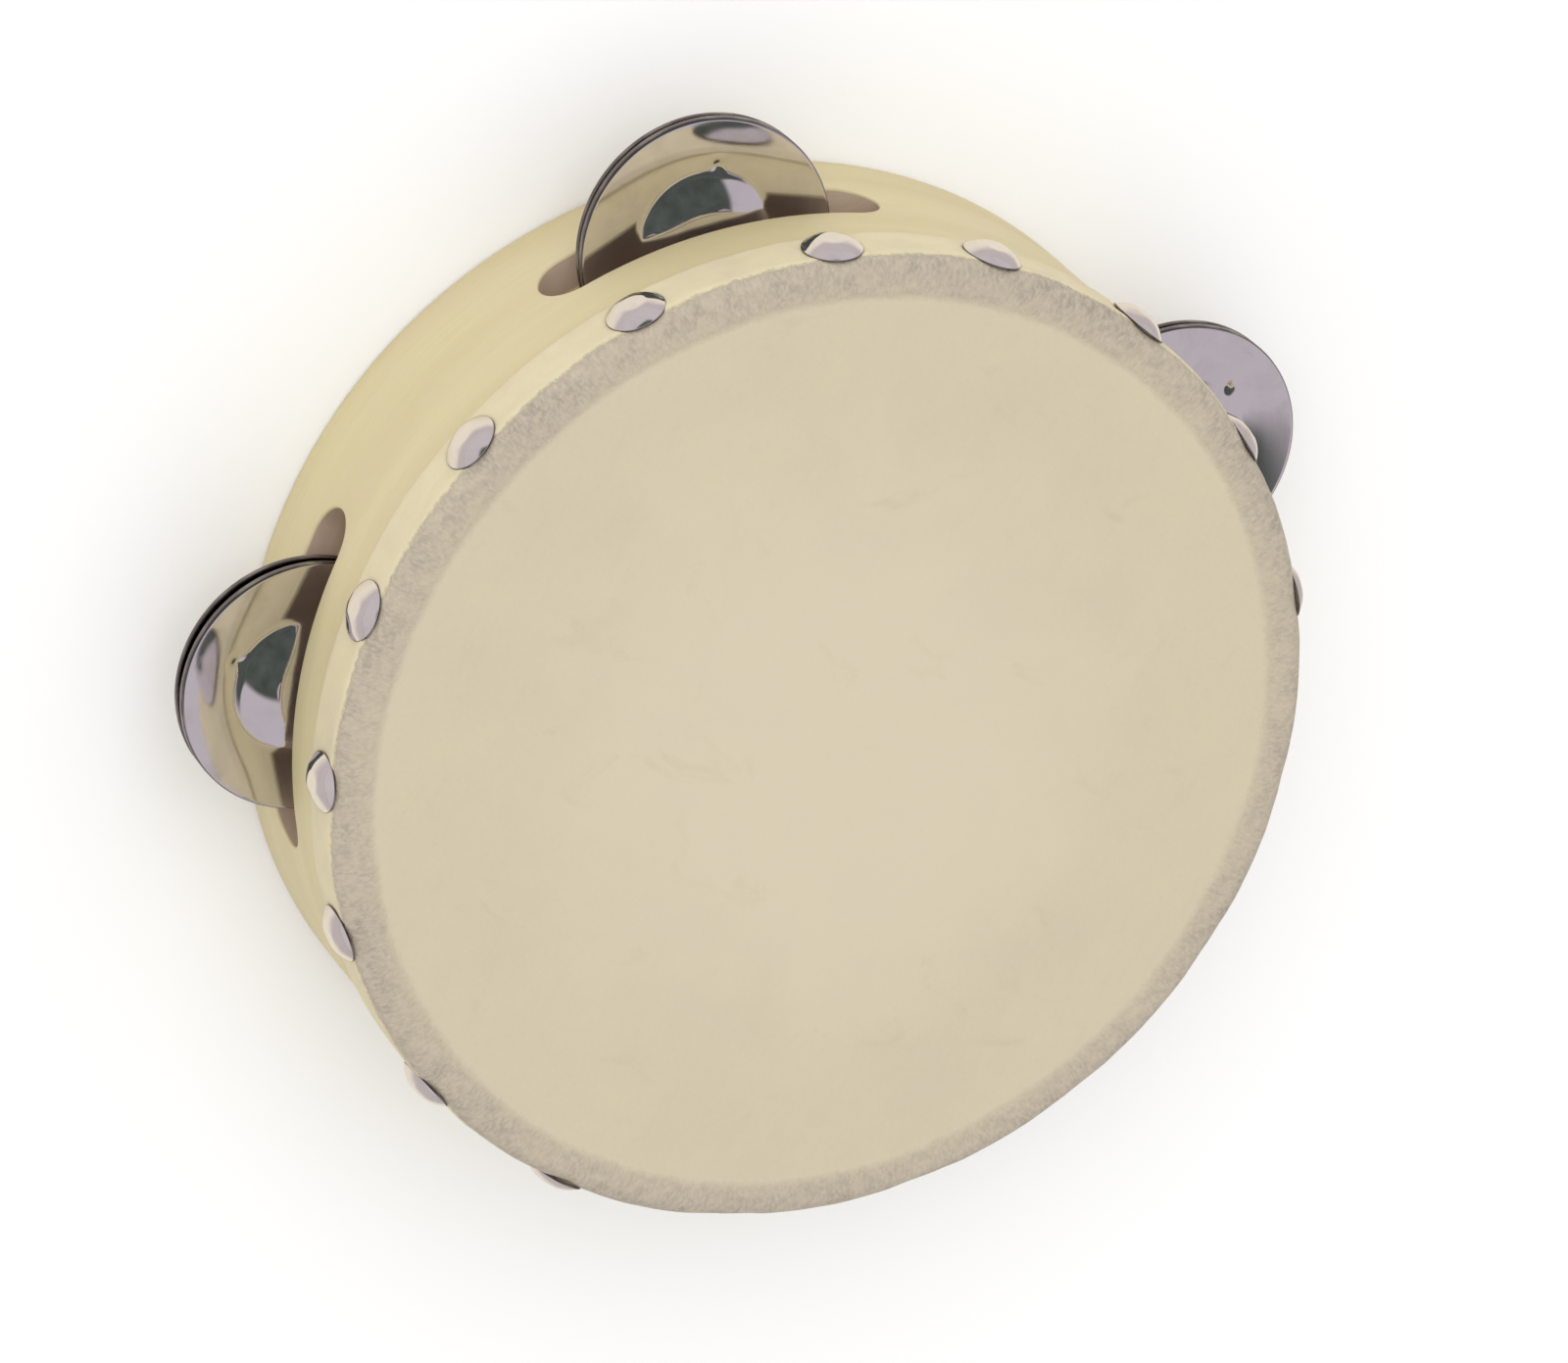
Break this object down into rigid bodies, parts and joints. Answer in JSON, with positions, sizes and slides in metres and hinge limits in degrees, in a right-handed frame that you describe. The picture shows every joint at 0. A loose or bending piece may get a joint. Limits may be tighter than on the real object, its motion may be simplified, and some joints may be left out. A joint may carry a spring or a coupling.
{
  "type": "tambourine",
  "caption": "Small hand tambourine: round wooden shell with a tacked hide head and slots holding pairs of domed metal jingles on pins, with a blank stretch to grip.",
  "frame": {"origin": "centre of the shell's open back rim, in the plane the drum stands on", "axes": "+Z along the drum's axis from the open rim to the head; +X across the drum; the blank stretch of shell that the hand grips faces -Y"},
  "size_m": [0.1729, 0.1554, 0.0435],
  "materials": {
    "birch": "sanded, clear satin, dark scorched slot walls",
    "hide": "natural untreated drum hide, matt",
    "tack_nickel": "bright nickel plate",
    "jingle_nickel": "bright nickel plate on pressed steel",
    "pin_steel": "bright drawn wire"
  },
  "bodies": {
    "drum": {"wood_shell": "birch", "hide_head": "hide", "tack_01": "tack_nickel", "tack_02": "tack_nickel", "tack_03": "tack_nickel", "tack_04": "tack_nickel", "tack_05": "tack_nickel", "tack_06": "tack_nickel", "tack_07": "tack_nickel", "tack_08": "tack_nickel", "tack_09": "tack_nickel", "tack_10": "tack_nickel", "tack_11": "tack_nickel", "tack_12": "tack_nickel", "tack_13": "tack_nickel", "tack_14": "tack_nickel", "tack_15": "tack_nickel", "tack_16": "tack_nickel", "tack_17": "tack_nickel", "jingle_pin_1": "pin_steel", "jingle_pin_2": "pin_steel", "jingle_pin_3": "pin_steel", "jingle_pin_4": "pin_steel"},
    "jingle_1_upper": {"jingle_1_upper": "jingle_nickel"},
    "jingle_1_lower": {"jingle_1_lower": "jingle_nickel"},
    "jingle_2_upper": {"jingle_2_upper": "jingle_nickel"},
    "jingle_2_lower": {"jingle_2_lower": "jingle_nickel"},
    "jingle_3_upper": {"jingle_3_upper": "jingle_nickel"},
    "jingle_3_lower": {"jingle_3_lower": "jingle_nickel"},
    "jingle_4_upper": {"jingle_4_upper": "jingle_nickel"},
    "jingle_4_lower": {"jingle_4_lower": "jingle_nickel"}
  },
  "joints": [
    {"name": "jingle_1_upper_slide", "type": "slide", "parent": "drum", "child": "jingle_1_upper", "axis": [0, 0, 1], "range_m": [-0.0001, 0.0008]},
    {"name": "jingle_1_lower_slide", "type": "slide", "parent": "drum", "child": "jingle_1_lower", "axis": [0, 0, 1], "range_m": [-0.001, 0.0001]},
    {"name": "jingle_2_upper_slide", "type": "slide", "parent": "drum", "child": "jingle_2_upper", "axis": [0, 0, 1], "range_m": [-0.0001, 0.0008]},
    {"name": "jingle_2_lower_slide", "type": "slide", "parent": "drum", "child": "jingle_2_lower", "axis": [0, 0, 1], "range_m": [-0.001, 0.0001]},
    {"name": "jingle_3_upper_slide", "type": "slide", "parent": "drum", "child": "jingle_3_upper", "axis": [0, 0, 1], "range_m": [-0.0001, 0.0008]},
    {"name": "jingle_3_lower_slide", "type": "slide", "parent": "drum", "child": "jingle_3_lower", "axis": [0, 0, 1], "range_m": [-0.001, 0.0001]},
    {"name": "jingle_4_upper_slide", "type": "slide", "parent": "drum", "child": "jingle_4_upper", "axis": [0, 0, 1], "range_m": [-0.0001, 0.0008]},
    {"name": "jingle_4_lower_slide", "type": "slide", "parent": "drum", "child": "jingle_4_lower", "axis": [0, 0, 1], "range_m": [-0.001, 0.0001]}
  ]
}
